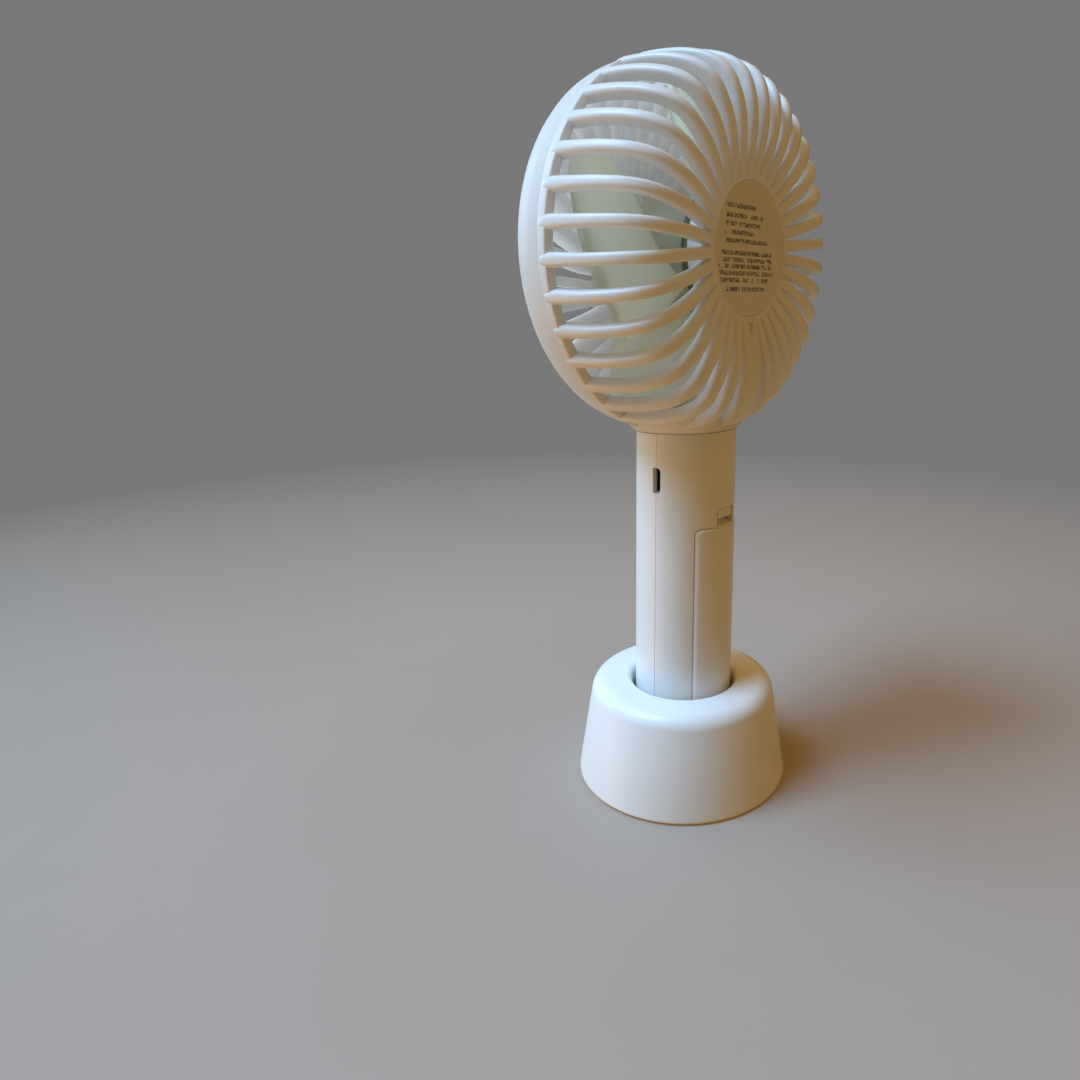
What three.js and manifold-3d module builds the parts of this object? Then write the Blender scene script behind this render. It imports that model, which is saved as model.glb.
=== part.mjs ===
// Handheld electric fan standing in its round base. Millimetres, +Z up.
// Origin: centre of the base's underside. The fan blows towards -Y, its rear guard faces +Y,
// and the charging socket is on the +X side of the handle.
import * as THREE from 'three';
import { mergeVertices } from 'three/addons/utils/BufferGeometryUtils.js';
import Module from 'manifold-3d';

const wasm = await Module();
wasm.setup();

// ---- driving dimensions -------------------------------------------------------------------

const TIDY = 0.02; // largest surface change allowed when slivers are merged
const GAP = 0.3; // clearance between neighbouring pieces
const ROUND = 48; // facets round the handle and base
const HEAD_ROUND = 36; // facets round the head, one to each rib

const BASE_R = 30.9;
const BASE_TOP = 29.3;
const SOCKET_R = 15.25; // hole the handle stands in
const SOCKET_FLOOR = 9.3;
const BASE_SCREW_R = 21.5; // circle of the three base screws

const HANDLE_R = 14;
const HANDLE_IN = 12;
const HANDLE_BOTTOM = SOCKET_FLOOR + GAP;

const CELL_R = 9.25; // an 18650 cell
const CELL_BOTTOM = 14.2;
const CELL_TOP = 78.8;

const COVER_HALF = 9.6; // half width of the battery cover
const COVER_BOTTOM = 26; // inside the base's rim when docked
const COVER_TOP = 77.8;
const NOTCH_HALF = 4;
const NOTCH_TOP = 83;
const TONGUE_HALF = NOTCH_HALF - GAP;

const PORT_LOW = 87.4;
const PORT_HIGH = 94.5;
const BUTTON_Z = 90;
const LAMP_Z = 84;
const BOARD_FRONT = -2.9;
const BOARD_REAR = -1.3;

const HEAD_Z = 151.8; // height of the fan's axis
const RING_IN = 46.8; // inside radius of both rings
const RIBS = 36;
const RIB_PITCH = (2 * Math.PI) / RIBS;
const RIB_WIDTH = 2.9;
const RIB_DEPTH = 4.1;
const DUCT_HALF = 4; // half width of the wire duct
const DUCT_DEPTH = 3.9;
const SADDLE_R = 16.5; // neck patch under the head, round the handle's axis
const SPIGOT_R = 7.9; // neck tube clamped in the handle
const SPIGOT_BORE = 6.2;

const HUB_R = 16;
const BLADES = 4;
const BLADE_TIP = 42.5;
const SHAFT_R = 1;
const BORE_R = 1.1;

const FIN_OUTER = 2.2; // thickness of a front fin at the ring
const FIN_INNER = 1.5;

// ---- shared shape helpers -----------------------------------------------------------------

const deg = (angle) => (angle * Math.PI) / 180;

// Signed volume of an indexed triangle list.
function volumeOf(position, index) {
  const [a, b, c] = [new THREE.Vector3(), new THREE.Vector3(), new THREE.Vector3()];
  let sum = 0;
  for (let i = 0; i < index.length; i += 3) {
    a.fromBufferAttribute(position, index[i]);
    b.fromBufferAttribute(position, index[i + 1]);
    c.fromBufferAttribute(position, index[i + 2]);
    sum += a.dot(b.cross(c)) / 6;
  }
  return sum;
}

// Positions only, welded, collapsed triangles dropped, faces turned outwards.
function weld(geometry) {
  const bare = geometry.clone();
  Object.keys(bare.attributes)
    .filter((name) => name !== 'position')
    .forEach((name) => bare.deleteAttribute(name));
  const merged = mergeVertices(bare, 1e-4);
  const index = merged.index.array;
  const kept = [];
  for (let i = 0; i < index.length; i += 3) {
    const [a, b, c] = [index[i], index[i + 1], index[i + 2]];
    if (a !== b && b !== c && c !== a) {
      kept.push(a, b, c);
    }
  }
  if (volumeOf(merged.attributes.position, kept) < 0) {
    for (let i = 0; i < kept.length; i += 3) {
      [kept[i + 1], kept[i + 2]] = [kept[i + 2], kept[i + 1]];
    }
  }
  merged.setIndex(kept);
  return merged;
}

// A three.js geometry as a closed solid that can be joined and cut.
function solid(geometry) {
  const shape = weld(geometry);
  const mesh = new wasm.Mesh({
    numProp: 3,
    vertProperties: new Float32Array(shape.attributes.position.array),
    triVerts: new Uint32Array(shape.index.array),
  });
  return new wasm.Manifold(mesh);
}

function unite(...parts) {
  return parts.reduce((all, part) => all.add(part));
}

function fromSolid(shape) {
  const { vertProperties, triVerts } = shape.getMesh();
  const geometry = new THREE.BufferGeometry();
  geometry.setAttribute('position', new THREE.BufferAttribute(vertProperties, 3));
  geometry.setIndex(new THREE.BufferAttribute(triVerts, 1));
  geometry.computeVertexNormals();
  return geometry;
}

// Profile of [radius, height] pairs turned about Y (the head's axis) or Z (the handle's axis).
function turnedY(profile, facets = ROUND) {
  const points = profile.map(([r, h]) => new THREE.Vector2(r, h));
  return new THREE.LatheGeometry(points, facets);
}

function turnedZ(profile, facets = ROUND) {
  return turnedY(profile, facets).rotateX(Math.PI / 2);
}

// The same for a profile that goes round and closes on itself.
const ringY = (profile, facets) => turnedY([...profile, profile[0]], facets);
const ringZ = (profile, facets) => turnedZ([...profile, profile[0]], facets);

const discProfile = (r, low, high) => [[0, low], [r, low], [r, high], [0, high]];
const tubeProfile = (inner, outer, low, high) => [
  [inner, low],
  [outer, low],
  [outer, high],
  [inner, high],
];

function rodZ(r, low, high, x = 0, y = 0, facets = 16) {
  return turnedZ(discProfile(r, low, high), facets).translate(x, y, 0);
}

function rodY(r, low, high, x = 0, z = 0, facets = 16) {
  return turnedY(discProfile(r, low, high), facets).translate(x, 0, z);
}

function block(x0, x1, y0, y1, z0, z1) {
  const geometry = new THREE.BoxGeometry(x1 - x0, y1 - y0, z1 - z0);
  return geometry.translate((x0 + x1) / 2, (y0 + y1) / 2, (z0 + z1) / 2);
}

function outline(points) {
  return new THREE.Shape(points.map(([a, b]) => new THREE.Vector2(a, b)));
}

// Rectangle with its corners cut or rounded by `corner`.
function softRectangle(a0, a1, b0, b1, corner, steps = 3) {
  const centres = [
    [a1 - corner, b0 + corner, -90],
    [a1 - corner, b1 - corner, 0],
    [a0 + corner, b1 - corner, 90],
    [a0 + corner, b0 + corner, 180],
  ];
  return centres.flatMap(([a, b, start]) =>
    Array.from({ length: steps + 1 }, (_, i) => {
      const angle = deg(start + (90 * i) / steps);
      return [a + corner * Math.cos(angle), b + corner * Math.sin(angle)];
    }),
  );
}

// Outline drawn in X and Z, given depth along Y.
function slabXZ(points, y0, y1) {
  const geometry = new THREE.ExtrudeGeometry(outline(points), { depth: y1 - y0, bevelEnabled: false });
  return geometry.rotateX(Math.PI / 2).translate(0, y1, 0);
}

// Outline drawn in Y and Z, given depth along X.
function slabYZ(points, x0, x1) {
  const geometry = new THREE.ExtrudeGeometry(outline(points), { depth: x1 - x0, bevelEnabled: false });
  const axes = new THREE.Matrix4().makeBasis(
    new THREE.Vector3(0, 1, 0),
    new THREE.Vector3(0, 0, 1),
    new THREE.Vector3(1, 0, 0),
  );
  return geometry.applyMatrix4(axes).translate(x0, 0, 0);
}

// Round wire along a smooth path.
function wire(points, r, steps, sides = 6) {
  const path = new THREE.CatmullRomCurve3(points.map((p) => new THREE.Vector3(...p)), false, 'centripetal');
  const section = outline(
    Array.from({ length: sides }, (_, i) => {
      const angle = (2 * Math.PI * i) / sides;
      return [r * Math.cos(angle), r * Math.sin(angle)];
    }),
  );
  return new THREE.ExtrudeGeometry(section, { steps, extrudePath: path, bevelEnabled: false });
}

// The same line moved sideways by `distance`, to the right of its direction of travel.
function offsetLine(points, distance) {
  return points.map(([a, b], i) => {
    const [a0, b0] = points[Math.max(i - 1, 0)];
    const [a1, b1] = points[Math.min(i + 1, points.length - 1)];
    const length = Math.hypot(a1 - a0, b1 - b0);
    return [a + ((b1 - b0) / length) * distance, b - ((a1 - a0) / length) * distance];
  });
}

// ---- materials and placing ----------------------------------------------------------------

const FINISHES = {
  white_plastic: { color: 0xf1f1ee, roughness: 0.45, metalness: 0 },
  blade_plastic: { color: 0xe6ecc4, roughness: 0.3, metalness: 0 },
  label: { color: 0xe9e7e1, roughness: 0.6, metalness: 0 },
  black_plastic: { color: 0x1c1c1e, roughness: 0.5, metalness: 0 },
  steel: { color: 0xb9bcc0, roughness: 0.3, metalness: 1 },
  plated: { color: 0xd5d7d8, roughness: 0.2, metalness: 1 },
  copper: { color: 0xb8693a, roughness: 0.35, metalness: 1 },
  bronze: { color: 0xa9844f, roughness: 0.4, metalness: 1 },
  magnet: { color: 0x3a3b3e, roughness: 0.7, metalness: 0.2 },
  cell_wrap: { color: 0x2f6fb0, roughness: 0.4, metalness: 0 },
  circuit_green: { color: 0x1f6b3c, roughness: 0.5, metalness: 0 },
  wire_red: { color: 0xb52424, roughness: 0.5, metalness: 0 },
  wire_black: { color: 0x202020, roughness: 0.5, metalness: 0 },
  foam: { color: 0x4a4a4c, roughness: 0.95, metalness: 0 },
  lamp: { color: 0xf3f6ff, roughness: 0.2, metalness: 0 },
};

function place(group, name, shape, finish) {
  const geometry = shape.isBufferGeometry ? weld(shape) : fromSolid(shape);
  geometry.computeVertexNormals();
  const mesh = new THREE.Mesh(geometry, new THREE.MeshStandardMaterial(FINISHES[finish]));
  mesh.name = name;
  group.add(mesh);
  return mesh;
}

// Pan-head screw along an axis, its head starting at `seat` and its shank running the other way.
function screw(headR, headHeight, shankR, length, facets = 12) {
  return turnedY(
    [
      [0, headHeight],
      [headR * 0.8, headHeight],
      [headR, headHeight * 0.5],
      [headR, 0],
      [shankR, 0],
      [shankR, -length + shankR],
      [0, -length],
    ],
    facets,
  );
}

const fan = new THREE.Group();
fan.name = 'handheld_fan';
const base = new THREE.Group();
const handle = new THREE.Group();
const head = new THREE.Group();
const rotor = new THREE.Group();
base.name = 'base_group';
handle.name = 'handle_group';
head.name = 'head_group';
rotor.name = 'rotor_group';
head.position.z = HEAD_Z;
head.add(rotor);
fan.add(base, handle, head);

// ---- base -----------------------------------------------------------------------------------

const screwSpots = [90, 210, 330].map((angle) => [
  BASE_SCREW_R * Math.cos(deg(angle)),
  BASE_SCREW_R * Math.sin(deg(angle)),
]);

function baseShell() {
  const cup = turnedZ([
    [0, SOCKET_FLOOR - 1.6],
    [17, SOCKET_FLOOR - 1.6],
    [17, BASE_TOP - 1.9],
    [22.5, BASE_TOP - 1.9],
    [24.3, 26.6],
    [25, 24.3],
    [28.95, GAP],
    [30.2, GAP],
    [BASE_R, 1.1],
    [26.95, 24.2],
    [26.35, 26.6],
    [24.95, 28.5],
    [22.9, BASE_TOP],
    [16.8, BASE_TOP],
    [15.7, 28.9],
    [SOCKET_R, 27.8],
    [SOCKET_R, SOCKET_FLOOR],
    [0, SOCKET_FLOOR],
  ]);
  const bosses = screwSpots.map(([x, y]) => solid(rodZ(2.8, 2.6, 28, x, y)));
  const pilots = screwSpots.map(([x, y]) => solid(rodZ(1.2, 2, 12, x, y, 12)));
  return unite(solid(cup), ...bosses).subtract(unite(...pilots));
}

function basePlate() {
  const holes = screwSpots.flatMap(([x, y]) => [
    solid(rodZ(1.3, 0, 4, x, y, 12)),
    solid(rodZ(2.6, 0, 1.6, x, y, 12)),
  ]);
  return solid(turnedZ(discProfile(28.2, 0.8, 2.3))).subtract(unite(...holes));
}

place(base, 'base_shell', baseShell(), 'white_plastic');
place(base, 'base_plate', basePlate(), 'white_plastic');
place(base, 'base_pad', turnedZ(discProfile(27.5, 0, 0.5)), 'foam');
screwSpots.forEach(([x, y], i) => {
  const shape = screw(2.2, 0.6, 0.9, 7.5).rotateX(-Math.PI / 2).translate(x, y, 1.45);
  place(base, `base_screw_${i + 1}`, shape, 'steel');
});

// ---- handle shells --------------------------------------------------------------------------

// Space the head takes above the handle, with clearance. The shells are coped to it.
const coping = solid(
  turnedY(
    [
      [0, -24],
      [44, -24],
      [49, -16.5],
      [50, -12],
      [50.4, -8],
      [50.4, 0],
      [49.4, 8],
      [48, 13.5],
      [45, 18],
      [0, 18],
    ],
    HEAD_ROUND,
  ).translate(0, 0, HEAD_Z),
);

// Handle tube with its floor and the inner collar that traps the neck tube's flange.
function handleTube() {
  const tube = turnedZ([
    [0, HANDLE_BOTTOM],
    [HANDLE_R - 0.6, HANDLE_BOTTOM],
    [HANDLE_R, HANDLE_BOTTOM + 0.6],
    [HANDLE_R, 112],
    [HANDLE_IN, 112],
    [HANDLE_IN, HANDLE_BOTTOM + 2],
    [0, HANDLE_BOTTOM + 2],
  ]);
  const collar = ringZ(tubeProfile(SPIGOT_R + 0.4, HANDLE_IN + 0.5, 98.4, 99.9));
  return unite(solid(tube), solid(collar)).subtract(coping);
}

// Outline of the charging port in Y and Z, `inset` inside its opening: two corners are cut off.
function portOutline(inset) {
  const [left, right] = [-1.1 + inset, 1.4 - inset];
  const [low, high] = [PORT_LOW + inset, PORT_HIGH - inset];
  return [
    [left, low],
    [0.3, low],
    [right, low + 1],
    [right, high - 1],
    [0.3, high],
    [left, high],
  ];
}

// The charging port is cut across the parting seam.
const portCut = solid(slabYZ(portOutline(0), 10.5, 15));
const boardBosses = [[-7.5, 93.5], [-7.5, 84.5]];

function frontShell() {
  const half = solid(block(-20, 20, -20, -GAP / 2, 0, 120));
  const bosses = boardBosses.map(([x, z]) => solid(rodY(1.8, -10.6, BOARD_FRONT - GAP, x, z, 12)));
  const pilots = boardBosses.map(([x, z]) => solid(rodY(0.95, -9, 0, x, z, 12)));
  const cuts = unite(
    ...pilots,
    portCut,
    solid(rodY(4.2, -16, -8, 0, BUTTON_Z, 24)),
    solid(rodY(1.3, -16, -8, 0, LAMP_Z, 12)),
  );
  return unite(handleTube().intersect(half), ...bosses).subtract(cuts);
}

function rearShell() {
  const half = solid(block(-20, 20, GAP / 2, 20, 0, 120));
  const window = slabXZ(
    softRectangle(-COVER_HALF - GAP, COVER_HALF + GAP, COVER_BOTTOM - GAP, COVER_TOP + 0.45, 1.6, 2),
    4,
    16,
  );
  const notch = slabXZ(softRectangle(-NOTCH_HALF, NOTCH_HALF, 70, NOTCH_TOP, 1.3, 2), 4, 16);
  return handleTube().intersect(half).subtract(unite(solid(window), solid(notch), portCut));
}

// Curved cover with a springy tongue whose finger block stands in the notch above it.
function batteryCover() {
  const wall = ringZ(tubeProfile(HANDLE_IN, HANDLE_R, COVER_BOTTOM, COVER_TOP));
  const plan = slabXZ(softRectangle(-COVER_HALF, COVER_HALF, COVER_BOTTOM, COVER_TOP, 1.5, 2), 2, 16);
  const root = block(-TONGUE_HALF, TONGUE_HALF, 10.3, 12.6, 71, 74);
  const tongue = block(-TONGUE_HALF, TONGUE_HALF, 10.3, 11.3, 71, 82.4);
  const pad = block(-TONGUE_HALF, TONGUE_HALF, 11, 12.3, 78.2, 82.4);
  const grip = block(-3.3, 3.3, 12, 13.3, 80.1, 82.6);
  const latch = unite(solid(root), solid(tongue), solid(pad), solid(grip));
  return solid(wall).intersect(solid(plan)).add(latch);
}

place(handle, 'handle_front_shell', frontShell(), 'white_plastic');
place(handle, 'handle_rear_shell', rearShell(), 'white_plastic');
place(handle, 'battery_cover', batteryCover(), 'white_plastic');

// ---- battery --------------------------------------------------------------------------------

const cellProfile = [
  [0, CELL_BOTTOM],
  [CELL_R - 0.8, CELL_BOTTOM],
  [CELL_R, CELL_BOTTOM + 0.8],
  [CELL_R, CELL_TOP - 0.8],
  [CELL_R - 0.8, CELL_TOP],
  [3.4, CELL_TOP],
  [3, CELL_TOP + 0.4],
  [0, CELL_TOP + 0.4],
];
const springTurns = 2.25;
const springPath = Array.from({ length: 28 }, (_, i) => {
  const share = i / 27;
  const angle = 2 * Math.PI * springTurns * share;
  const r = 5 - 2.4 * share;
  return [r * Math.cos(angle), r * Math.sin(angle), 12.9 + 0.85 * share];
});

place(handle, 'battery_cell', turnedZ(cellProfile, 24), 'cell_wrap');
place(handle, 'contact_negative', turnedZ(discProfile(7.5, 11.9, 12.3), 24), 'plated');
place(handle, 'contact_spring', wire(springPath, 0.3, 27, 4), 'plated');
place(handle, 'contact_positive', block(-4.5, 4.5, -4.5, 4.5, 79.5, 79.9), 'plated');

// ---- circuit board and what is on it ----------------------------------------------------------

function circuitBoard() {
  const board = solid(block(-10.8, 10.8, BOARD_FRONT, BOARD_REAR, 81.5, 95.8));
  const holes = boardBosses.map(([x, z]) => solid(rodY(1, -5, 1, x, z, 12)));
  return board.subtract(unite(...holes));
}

// Folded metal mouth of the charging socket, open towards +X.
function socketShell() {
  const outer = slabYZ(portOutline(0.15), 6.2, 12.6);
  const inner = slabYZ(portOutline(0.4), 6.6, 13);
  return solid(outer).subtract(solid(inner));
}

function tactSwitch() {
  const body = block(-3, 3, -6.4, BOARD_FRONT - 0.1, BUTTON_Z - 3, BUTTON_Z + 3);
  return unite(solid(body), solid(rodY(1.7, -7.1, -6, 0, BUTTON_Z)));
}

// Button cap, the flange that keeps it in, and the stem that presses the switch.
function powerButton() {
  const profile = [
    [0, -7.8],
    [2.2, -7.8],
    [2.2, -9.7],
    [5, -9.7],
    [5, -10.4],
    [3.8, -10.4],
    [3.8, -14.2],
    [3.3, -14.7],
    [0, -14.7],
  ];
  return turnedY(profile, 24).translate(0, 0, BUTTON_Z);
}

place(handle, 'circuit_board', circuitBoard(), 'circuit_green');
place(handle, 'usb_socket', socketShell(), 'steel');
place(handle, 'usb_tongue', block(6.8, 11.7, -0.1, 0.35, 88.9, 93), 'black_plastic');
place(handle, 'tact_switch', tactSwitch(), 'black_plastic');
place(handle, 'power_button', powerButton(), 'white_plastic');
place(handle, 'charge_chip', block(-3.4, 1.6, BOARD_REAR + 0.1, 0.4, 84, 88), 'black_plastic');
place(handle, 'inductor', rodY(2.4, BOARD_REAR + 0.1, 1.9, -1, 92.4, 16), 'magnet');
place(handle, 'status_lamp', block(-0.9, 0.9, -3.8, BOARD_FRONT - 0.1, LAMP_Z - 0.9, LAMP_Z + 0.9), 'lamp');
place(handle, 'light_pipe', rodY(1, -14.1, -4.1, 0, LAMP_Z, 12), 'lamp');
boardBosses.forEach(([x, z], i) => {
  const shape = screw(1.6, 0.8, 0.65, 6, 12).translate(x, BOARD_REAR + 0.1, z);
  place(handle, `board_screw_${i + 1}`, shape, 'steel');
});

const positiveLead = [[3, 1, 80.5], [4.4, 1.2, 81.4], [5.2, 0.6, 83.2], [5.4, -0.3, 84.6]];
const negativeLead = [
  [3, -7.6, 12.9],
  [3, -10.1, 14.6],
  [3, -10.55, 20],
  [3, -10.55, 72],
  [3, -8.9, 79.6],
  [4, -4.4, 82.2],
  [4.6, -3.8, 84],
];
place(handle, 'battery_lead_positive', wire(positiveLead, 0.5, 6, 5), 'wire_red');
place(handle, 'battery_lead_negative', wire(negativeLead, 0.5, 14, 5), 'wire_black');

// ---- rear guard -------------------------------------------------------------------------------

// Outer ridge of a rear rib as [radius, y], from the ring to the hub.
const ribRidge = [
  [49.1, -5.6],
  [49, 0],
  [48.2, 6.7],
  [46.3, 13.4],
  [43.1, 18.1],
  [37.8, 20.7],
  [29.4, 21.5],
  [17.6, 19.5],
];

// Side view of a bar that follows the ridge, as a closed outline of [radius, y].
function ribOutline(top, bottom, first = 0) {
  const ridge = ribRidge.slice(first);
  return [...offsetLine(ridge, -top), ...offsetLine(ridge, -bottom).reverse()];
}

// A flat-sided bar with that outline, standing out along +X and `half` wide to each side.
function ribBar(points, half) {
  const geometry = new THREE.ExtrudeGeometry(outline(points), { depth: 2 * half, bevelEnabled: false });
  return geometry.translate(0, 0, -half);
}

// One rear rib: a bar with a ridged outer side, swept along the ridge line.
function rearRib() {
  const half = RIB_WIDTH / 2;
  const path = new THREE.CatmullRomCurve3(ribRidge.map(([r, y]) => new THREE.Vector3(r, y, 0)));
  const section = outline([[0, 0], [half, 1.1], [half - 0.2, RIB_DEPTH], [0.2 - half, RIB_DEPTH], [-half, 1.1]]);
  return new THREE.ExtrudeGeometry(section, { steps: 7, extrudePath: path, bevelEnabled: false });
}

function rearGuard() {
  const ribs = Array.from({ length: RIBS }, (_, i) => solid(rearRib().rotateY((i + 0.5) * RIB_PITCH)));
  const ring = ringY(
    [
      [RING_IN, -8.05],
      [48.4, -8.05],
      [48.9, -5.6],
      [48.6, -4.6],
      [48, -3.9],
      [47.3, -3.7],
      [RING_IN, -3.9],
    ],
    HEAD_ROUND,
  );
  const hub = turnedY([
    [0, 15.7],
    [14.2, 15.7],
    [14.2, 10.4],
    [HUB_R, 10.4],
    [HUB_R, 14.6],
    [18.7, 14.6],
    [18.7, 19],
    [16.9, 19.5],
    [16.9, 18.4],
    [0, 18.4],
  ], HEAD_ROUND);
  const patch = ringY(
    [[46.4, -8.05], [50, -8.05], [50, 0], [49, 8], [47.6, 13.2], [44, 13.2], [46.4, 4]],
    HEAD_ROUND,
  );
  const neck = solid(patch).intersect(solid(rodZ(SADDLE_R, -56, -30, 0, 0, 24)));
  const duct = solid(ribBar(ribOutline(0.15, DUCT_DEPTH, 2), DUCT_HALF).rotateY(Math.PI / 2));
  const spigot = turnedZ([
    [0, -55.3],
    [SPIGOT_R + 2, -55.3],
    [SPIGOT_R + 2, -53.8],
    [SPIGOT_R, -53.8],
    [SPIGOT_R, -46.8],
    [0, -46.8],
  ]);
  const channel = ribBar(ribOutline(1.4, 6, 1), 2.2).rotateY(Math.PI / 2);
  const cuts = unite(
    solid(channel),
    solid(rodZ(SPIGOT_BORE, -57, -44.5, 0, 0, 24)),
    solid(block(-2.4, 2.4, 10, 14.6, -17.5, -13)),
    ...motorScrewSpots.map((x) => solid(rodY(1.2, 14, 19, x, 0, 12))),
    ...motorScrewSpots.map((x) => solid(rodY(2.2, 16.4, 19, x, 0, 16))),
  );
  return unite(solid(ring), ...ribs, solid(hub), neck, duct, solid(spigot)).subtract(cuts).simplify(TIDY);
}

// ---- motor --------------------------------------------------------------------------------------

const motorScrewSpots = [-7.5, 7.5];

const canProfile = [
  [2.9, -5],
  [11.4, -5],
  [12, -4.4],
  [12, 13.6],
  [11.2, 13.6],
  [11.2, -4],
  [2.9, -4],
];

function endCap() {
  const disc = ringY(
    [[2.9, 13.9], [9.6, 13.9], [9.6, 11.8], [10.9, 11.8], [10.9, 13.9], [11.8, 13.9], [11.8, 15.2], [2.9, 15.2]],
    24,
  );
  return solid(disc).subtract(unite(...motorScrewSpots.map((x) => solid(rodY(1.2, 13, 16, x, 0, 12)))));
}

function magnet(turn) {
  const steps = 10;
  const span = deg(140);
  const arc = (r, sense) =>
    Array.from({ length: steps + 1 }, (_, i) => {
      const angle = turn + sense * span * (i / steps - 0.5);
      return [r * Math.cos(angle), r * Math.sin(angle)];
    });
  return slabXZ([...arc(10.9, 1), ...arc(9.4, -1)], -2.5, 11);
}

function armatureCore() {
  const poles = [0, 1, 2].map((i) => {
    const neck = block(-1.2, 1.2, 0, 9, 2, 8.2);
    const tip = solid(ringY(tubeProfile(7.6, 8.9, 0, 9), 36)).intersect(solid(block(-6, 6, 0, 9, 5, 9.5)));
    return unite(solid(neck), tip).rotate([0, 120 * i, 0]);
  });
  return unite(solid(rodY(3, 0, 9, 0, 0, 18)), ...poles).subtract(solid(rodY(BORE_R, -1, 10, 0, 0)));
}

function winding(turn) {
  const coil = solid(block(-2.6, 2.6, -1.4, 10.4, 4.3, 6.8));
  return coil.subtract(solid(block(-1.45, 1.45, -0.25, 9.25, 4, 7.5))).rotate([0, turn, 0]);
}

place(head, 'rear_guard', rearGuard(), 'white_plastic');
place(head, 'rating_label', turnedY(discProfile(16.6, 18.7, 19.3), ROUND), 'label');
place(head, 'motor_can', ringY(canProfile, 24), 'steel');
place(head, 'motor_end_cap', endCap(), 'black_plastic');
place(head, 'magnet_left', magnet(Math.PI), 'magnet');
place(head, 'magnet_right', magnet(0), 'magnet');
place(head, 'bush_front', ringY(tubeProfile(BORE_R, 2.7, -5.5, -2.5), 16), 'bronze');
place(head, 'bush_rear', ringY(tubeProfile(BORE_R, 2.7, 13.3, 15.3), 16), 'bronze');
motorScrewSpots.forEach((x, i) => {
  const shape = screw(1.9, 0.6, 0.9, 3.4, 12).translate(x, 16.5, 0);
  place(head, `motor_screw_${i + 1}`, shape, 'steel');
});

// Leads from the motor, out along the duct and down the neck tube to the board.
function motorLead(x) {
  const route = [
    [14.6, 12.75],
    [12.6, 13.1],
    [12.4, 15.4],
    [13.3, 18.4],
    [15.6, 21.4],
    [18, 25],
    [18.6, 30],
    [18.3, 36],
    [16.3, 40.7],
    [12.2, 44.1],
    [6.6, 45.8],
    [2.6, 47.2],
    [-0.2, 50],
    [-1.6, 53],
    [-2, 55.4],
  ];
  return wire(route.map(([y, drop]) => [x, y, -drop]), 0.5, 22, 5);
}
place(head, 'motor_lead_red', motorLead(-0.9), 'wire_red');
place(head, 'motor_lead_black', motorLead(0.9), 'wire_black');

// ---- rotor --------------------------------------------------------------------------------------

const BLADE_FRONT = -8;
const BLADE_BACK = 8.4;

// Leading and trailing edge angles at a radius. The tip's leading corner is swept back.
function bladeEdges(r) {
  const sweep = Math.max(0, (r - 32) / (BLADE_TIP - 32));
  return [43 - 15 * sweep ** 2, -35 + 4 * sweep ** 2];
}

// A subdivided plate bent onto the blade's twisted surface.
function blade(turn) {
  const plate = new THREE.BoxGeometry(1, 1, 1, 4, 1, 7);
  const position = plate.attributes.position;
  for (let i = 0; i < position.count; i += 1) {
    const share = position.getX(i) + 0.5;
    const along = position.getZ(i) + 0.5;
    const side = position.getY(i);
    const r = HUB_R - 0.7 + (BLADE_TIP - HUB_R + 0.7) * share;
    const [lead, trail] = bladeEdges(r);
    const angle = deg(lead + (trail - lead) * along) + turn;
    const thick = (1.5 - 0.5 * share) * (0.7 + 1.2 * along * (1 - along));
    const height = BLADE_FRONT + (BLADE_BACK - BLADE_FRONT) * along + side * thick;
    position.setXYZ(i, r * Math.cos(angle), height, r * Math.sin(angle));
  }
  return plate;
}

function fanBlades() {
  const cup = turnedY([
    [0, -8.6],
    [14.6, -8.6],
    [HUB_R, -7.4],
    [HUB_R, 9.5],
    [14.4, 9.5],
    [14.4, -7],
    [3, -7],
    [3, -5.9],
    [0, -5.9],
  ], HEAD_ROUND);
  const blades = Array.from({ length: BLADES }, (_, i) => solid(blade((i * 2 * Math.PI) / BLADES)));
  return unite(solid(cup), ...blades).subtract(solid(rodY(BORE_R, -8, 0, 0, 0)));
}

place(rotor, 'fan_blades', fanBlades(), 'blade_plastic');
place(rotor, 'motor_shaft', rodY(SHAFT_R, -7.8, 15.1, 0, 0), 'steel');
place(rotor, 'armature_core', armatureCore(), 'steel');
[0, 120, 240].forEach((turn, i) => {
  place(rotor, `winding_${i + 1}`, winding(turn), 'copper');
});
place(rotor, 'commutator', ringY(tubeProfile(BORE_R, 2.6, 10.6, 13), 16), 'copper');

// ---- front guard --------------------------------------------------------------------------------

const frontFace = (r) => -19.6 + 1.1 * (r / 44) ** 4;
const finRear = (r) => -11.2 - 1.2 * Math.max(0, 1 - r / 26);
const finAngle = (r) => -24 * (Math.max(0, 42 - r) / 29) ** 1.6;

// One swept fin: its plan is a curved strip, its edges follow the guard's front and rear faces.
function fin(start) {
  const steps = 5;
  const edge = (sense) =>
    Array.from({ length: steps + 1 }, (_, i) => {
      const r = 12.6 + (44.2 - 12.6) * (i / steps);
      const half = (FIN_INNER + (FIN_OUTER - FIN_INNER) * (i / steps)) / 2;
      const angle = deg(start + finAngle(r)) + (sense * half) / r;
      return [r * Math.cos(angle), r * Math.sin(angle)];
    });
  const geometry = slabXZ([...edge(-1), ...edge(1).reverse()], 0, 1);
  const position = geometry.attributes.position;
  for (let i = 0; i < position.count; i += 1) {
    const r = Math.hypot(position.getX(i), position.getZ(i));
    const rear = finRear(r);
    position.setY(i, rear + (frontFace(r) - rear) * (1 - position.getY(i)));
  }
  return geometry;
}

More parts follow.
